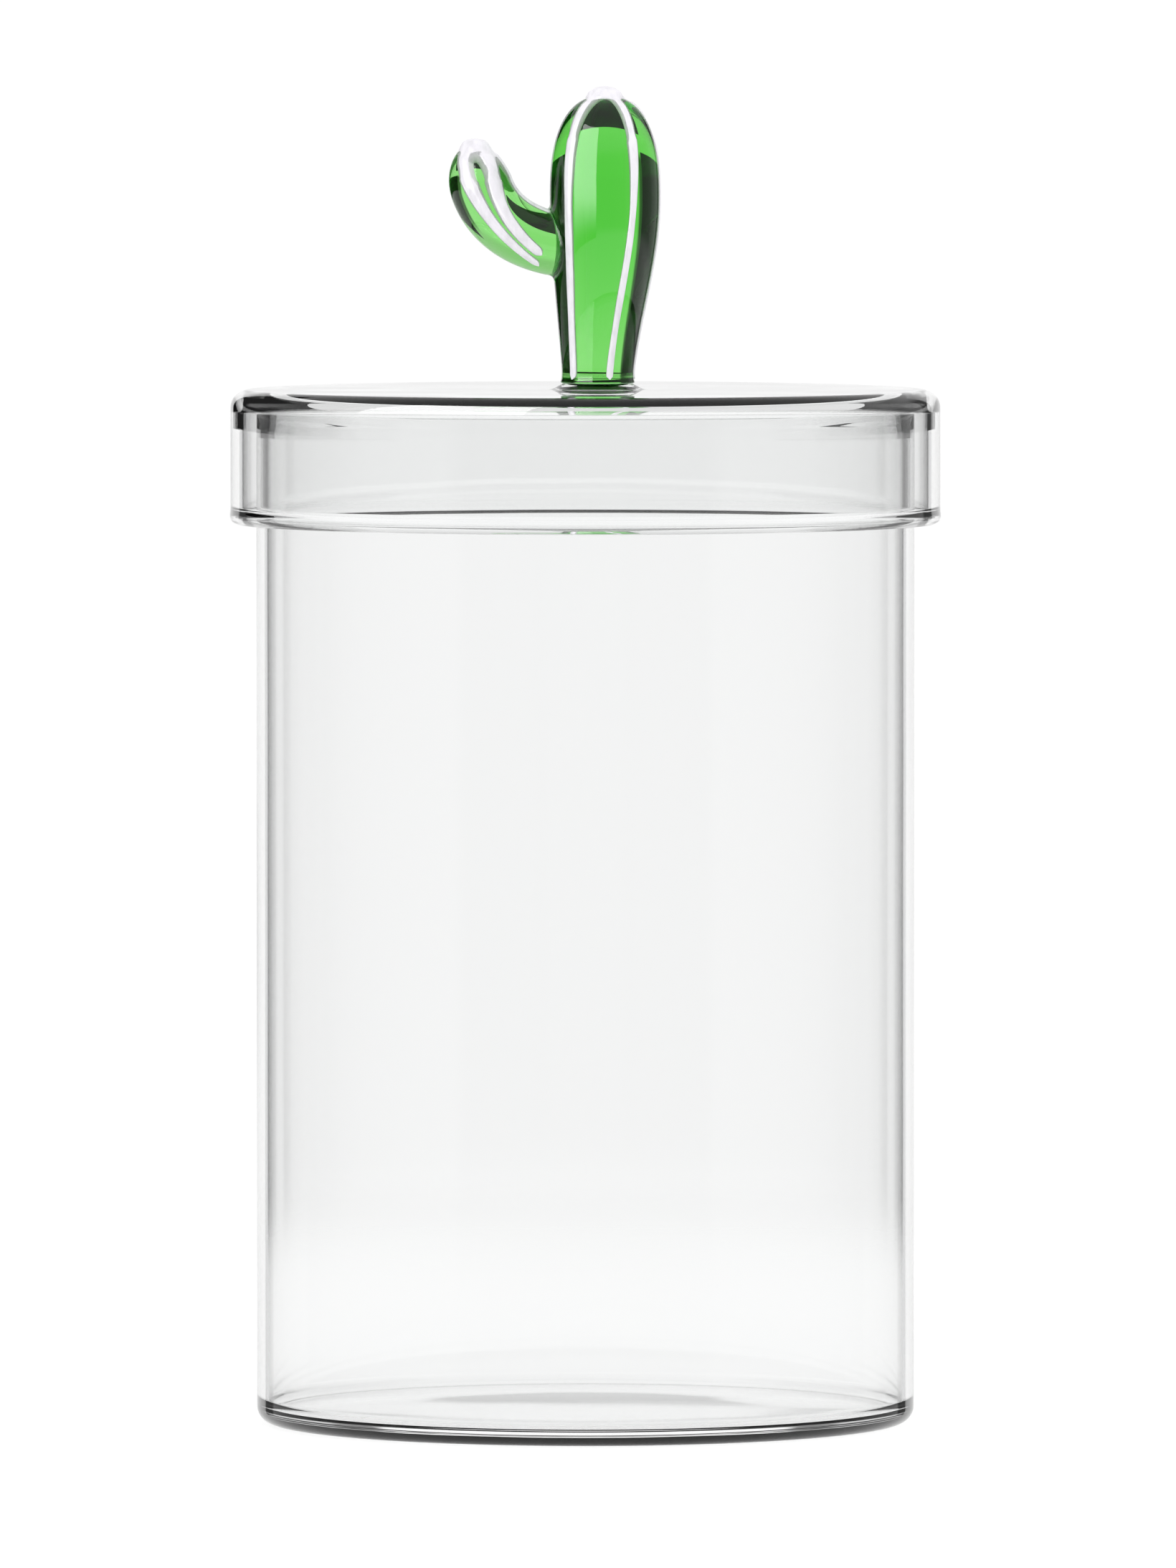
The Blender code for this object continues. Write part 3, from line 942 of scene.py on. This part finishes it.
class JAR_OT_lay_stem_lines(bpy.types.Operator):
    """Lay the white lines along the stem and melt them together at its tip"""

    bl_idname = "cactus_jar.lay_stem_lines"
    bl_label = "Lay Stem Lines"

    def execute(self, context):
        sizes = context.scene.line_sizes
        cactus = context.scene.cactus_sizes
        sides = [side for side in stem_sides(cactus) if side[1] > 0.0006 and side[0] > 0.0009]

        def width(share):
            low = sizes.stem_foot + (sizes.stem_belly - sizes.stem_foot) * min(share * 2, 1)
            return low + (sizes.stem_top - sizes.stem_belly) * max((share - 0.55) / 0.45, 0) ** 1.5

        def axis(along):
            return stem_axis(cactus, along)

        lines = [
            laid_line(f"stem_line_{i + 1}", axis, sides, line, width, sizes)
            for i, line in enumerate(STEM_LINES)
        ]
        middle = stem_axis(cactus, STEM_HEIGHT - 0.0003)
        lines.append(drop("stem_tip", middle, 0.0031, 0.0012, STEM_TIP_HIGH.z - middle.z, 1.8))
        mesh = melted(joined(*lines), sizes.melt, STEM_TOP - 0.006)
        threads = [f"stem_thread_{i + 1}" for i in range(len(STEM_LINES))]
        piece("stem_lines", mesh, "lid", "white_glass", *threads, "stem_tip_bead")
        return {"FINISHED"}


class JAR_OT_lay_arm_lines(bpy.types.Operator):
    """Lay the white lines along the arm and melt them together at its tip"""

    bl_idname = "cactus_jar.lay_arm_lines"
    bl_label = "Lay Arm Lines"

    def execute(self, context):
        sizes = context.scene.line_sizes
        cactus = context.scene.cactus_sizes
        axis = ArmAxis(cactus)
        start = stem_radius(cactus, cactus.arm_root_height) + 0.0009
        sides = [side for side in arm_sides(cactus, axis) if side[1] > start and side[0] > 0.0009]

        def width(share):
            return sizes.arm_root + (sizes.arm_top - sizes.arm_root) * share**2.2

        lines = [
            laid_line(f"arm_line_{i + 1}", axis.at, sides, line, width, sizes)
            for i, line in enumerate(ARM_LINES)
        ]
        middle = axis.at(axis.length - 0.0014)
        lines.append(drop("arm_tip", middle, 0.0026, 0.0012, 0.0020, 2.2))
        mesh = melted(joined(*lines), sizes.melt, ARM_END.z - 0.005)
        threads = [f"arm_thread_{i + 1}" for i in range(len(ARM_LINES))]
        piece("arm_lines", mesh, "lid", "white_glass", *threads, "arm_tip_bead")
        return {"FINISHED"}


class JAR_OT_set_stage(bpy.types.Operator):
    """Set the table, the studio light and the camera"""

    bl_idname = "cactus_jar.set_stage"
    bl_label = "Set Stage"

    def execute(self, context):
        studio = context.scene.studio_sizes
        lay_table()
        light_studio(context.scene, studio)
        hang_softbox(studio)
        hang_flags()
        place_camera(context.scene, studio)
        return {"FINISHED"}


# ---------------------------------------------------------------- stage


TABLE_GLOW = 0.655  # what the table adds to the light that falls on it
TABLE_GLOW_TO_CAMERA = 0.12  # and more where the camera sees it past the glass
PLAIN_WHITE = 1.02  # what the camera sees beyond the table
CARD_DARK = 0.015  # brightness of a dark card
STRIP_BLUR = 1.5  # degrees either side of an edge between two walls


def lay_table(radius=0.6, fade_from=0.30, fade_to=0.60):
    """A pale table that fades into the white of the studio."""
    mesh = bpy.data.meshes.new("table")
    work = bmesh.new()
    bmesh.ops.create_circle(work, cap_ends=True, segments=96, radius=radius)
    for vert in work.verts:
        vert.co.z = -0.0002
    work.to_mesh(mesh)
    work.free()
    material, board = new_material("pale_table")
    place = board.wire(board.node("ShaderNodeTexCoord"), "Object")
    distance = board.node("ShaderNodeVectorMath", {"operation": "LENGTH"}, {0: place})
    near = 1 - board.wire(distance, "Value").between(fade_from, fade_to)
    to_camera = board.wire(board.node("ShaderNodeLightPath"), "Is Camera Ray")
    shader = board.node(
        "ShaderNodeBsdfPrincipled",
        None,
        {
            "Base Color": (0.3, 0.3, 0.3, 1),
            "Roughness": 0.6,
            "Specular IOR Level": 0.0,
            "Emission Color": (1, 1, 1, 1),
            "Emission Strength": TABLE_GLOW + TABLE_GLOW_TO_CAMERA * to_camera,
            "Alpha": near,
        },
    )
    board.node("ShaderNodeOutputMaterial", None, {"Surface": board.wire(shader)})
    mesh.materials.append(material)
    table = bpy.data.objects.new("table", mesh)
    bpy.context.scene.collection.objects.link(table)
    table.visible_glossy = False


def cosine(degrees):
    return math.cos(math.radians(degrees))


def light_studio(scene, studio):
    """White all round for the eye and for matt surfaces. Glass sees a lit wall between dark ones."""
    world = bpy.data.worlds.new("studio")
    world.use_nodes = True
    world.node_tree.nodes.clear()
    scene.world = world
    board = Board(world.node_tree)
    direction = board.wire(board.node("ShaderNodeTexCoord"), "Generated")
    parts = board.node("ShaderNodeSeparateXYZ", None, {"Vector": direction})
    x, y, z = (board.wire(parts, axis) for axis in "XYZ")
    behind = y / board.math("SQRT", x * x + y * y + 0.000001)  # 1 behind the jar, -1 behind the camera
    wall = level = studio.window
    # each wall from this many degrees off straight behind, and its brightness
    edges = ((27, studio.strip), (37, studio.beside), (65, studio.side), (134, studio.front))
    for degrees, next_level in edges:
        past = 1 - behind.between(cosine(degrees + STRIP_BLUR), cosine(degrees - STRIP_BLUR))
        wall = wall + (next_level - level) * past
        level = next_level
    below = 1 - z.between(-0.20, -0.14)
    above = z.between(0.26, 0.42)
    seen_by_glass = wall * (1 - below) * (1 - above) + studio.window * below + studio.ceiling * above
    path = board.node("ShaderNodeLightPath")
    camera = board.wire(path, "Is Camera Ray")
    matt = board.wire(path, "Is Diffuse Ray")
    other = matt * studio.matt_light + (1 - matt) * seen_by_glass
    strength = camera * PLAIN_WHITE + (1 - camera) * other
    shade = board.node("ShaderNodeBackground", None, {"Color": (1, 1, 1, 1), "Strength": strength})
    board.node("ShaderNodeOutputWorld", None, {"Surface": board.wire(shade)})
    scene.view_settings.view_transform = "Standard"


def round_knob(radius, degrees, height):
    """A place round the knob's axis. 0 degrees is in front, and the angle grows to the right."""
    turn = math.radians(degrees)
    return (STEM_FOOT.x + radius * math.sin(turn), -radius * math.cos(turn), height)


def stage_card(name, first, last, inner, outer, strength, seen_by):
    """A curved card round the knob from inner to outer, each (radius, height).

    Only the rays in seen_by meet it. strength gives its brightness from a height."""
    steps = 12
    angles = [first + (last - first) * i / steps for i in range(steps + 1)]
    points = [round_knob(radius, angle, height) for angle in angles for radius, height in (inner, outer)]
    mesh = bpy.data.meshes.new(name)
    mesh.from_pydata(points, [], [(2 * i, 2 * i + 2, 2 * i + 3, 2 * i + 1) for i in range(steps)])
    material, board = new_material(name)
    place = board.wire(board.node("ShaderNodeTexCoord"), "Object")
    height = board.wire(board.node("ShaderNodeSeparateXYZ", None, {"Vector": place}), "Z")
    shade = board.node("ShaderNodeEmission", None, {"Strength": strength(height)})
    board.node("ShaderNodeOutputMaterial", None, {"Surface": board.wire(shade)})
    mesh.materials.append(material)
    card = bpy.data.objects.new(name, mesh)
    bpy.context.scene.collection.objects.link(card)
    for kind in ("camera", "diffuse", "glossy", "transmission", "volume_scatter", "shadow"):
        setattr(card, f"visible_{kind}", kind in seen_by)


def hang_softbox(studio):
    """A softbox in front of the knob on its left, which shows only as a shine on glass."""
    low = 0.157

    def fading(height):
        return studio.softbox * height.between(low, low + 0.04)

    stage_card("softbox", -66, -17, (0.15, low), (0.15, 0.34), fading, ("glossy",))


def hang_flags():
    """Dark flags behind the knob, which darken what its edges and rounded tips bend into view."""
    near, far, low = 0.010, 0.105, 0.1625
    away, floor, top = 0.25, 0.148, 0.33

    def dark(_):
        return CARD_DARK

    stage_card("low_flag", 150, 210, (near, low), (far, low), dark, ("transmission",))
    stage_card("right_flag", 80, 151, (away, floor), (away, top), dark, ("transmission",))
    stage_card("left_flag", 209, 280, (away, floor), (away, top), dark, ("transmission", "glossy"))


def place_camera(scene, studio):
    sensor = 36.0
    middle = 0.0004
    place = Vector((middle, -studio.distance, studio.height))
    aim = Vector((middle, 0, studio.aim))
    data = bpy.data.cameras.new("camera")
    data.sensor_width = sensor
    data.lens = sensor * (aim - place).length / studio.picture_height
    data.clip_end = 20
    camera = bpy.data.objects.new("camera", data)
    camera.location = place
    camera.rotation_euler = (aim - place).to_track_quat("-Z", "Y").to_euler()
    scene.collection.objects.link(camera)
    scene.camera = camera


# ---------------------------------------------------------------- panel and registration

STEPS = (
    "blow_jar",
    "blow_lid",
    "shape_cactus",
    "lay_stem_lines",
    "lay_arm_lines",
    "set_stage",
)
GROUPS = {
    "jar_sizes": JarSizes,
    "cactus_sizes": CactusSizes,
    "line_sizes": LineSizes,
    "jar_glasses": GlassColours,
    "studio_sizes": StudioSizes,
}


class JAR_PT_panel(bpy.types.Panel):
    """Sizes, colours and steps of the jar"""

    bl_idname = "JAR_PT_panel"
    bl_label = "Glass Jar"
    bl_space_type = "VIEW_3D"
    bl_region_type = "UI"
    bl_category = "Glass Jar"

    def draw(self, context):
        for group_name, group in GROUPS.items():
            box = self.layout.box()
            box.label(text=group.__doc__)
            for name in group.__annotations__:
                box.prop(getattr(context.scene, group_name), name)
        for step in STEPS:
            self.layout.operator(f"cactus_jar.{step}")


CLASSES = (
    *GROUPS.values(),
    JAR_OT_blow_jar,
    JAR_OT_blow_lid,
    JAR_OT_shape_cactus,
    JAR_OT_lay_stem_lines,
    JAR_OT_lay_arm_lines,
    JAR_OT_set_stage,
    JAR_PT_panel,
)


def register():
    for cls in CLASSES:
        bpy.utils.register_class(cls)
    for name, group in GROUPS.items():
        setattr(bpy.types.Scene, name, PointerProperty(type=group))


def unregister():
    for name in GROUPS:
        delattr(bpy.types.Scene, name)
    for cls in reversed(CLASSES):
        bpy.utils.unregister_class(cls)


def main():
    register()
    for step in STEPS:
        getattr(bpy.ops.cactus_jar, step)()


if __name__ == "__main__":
    main()
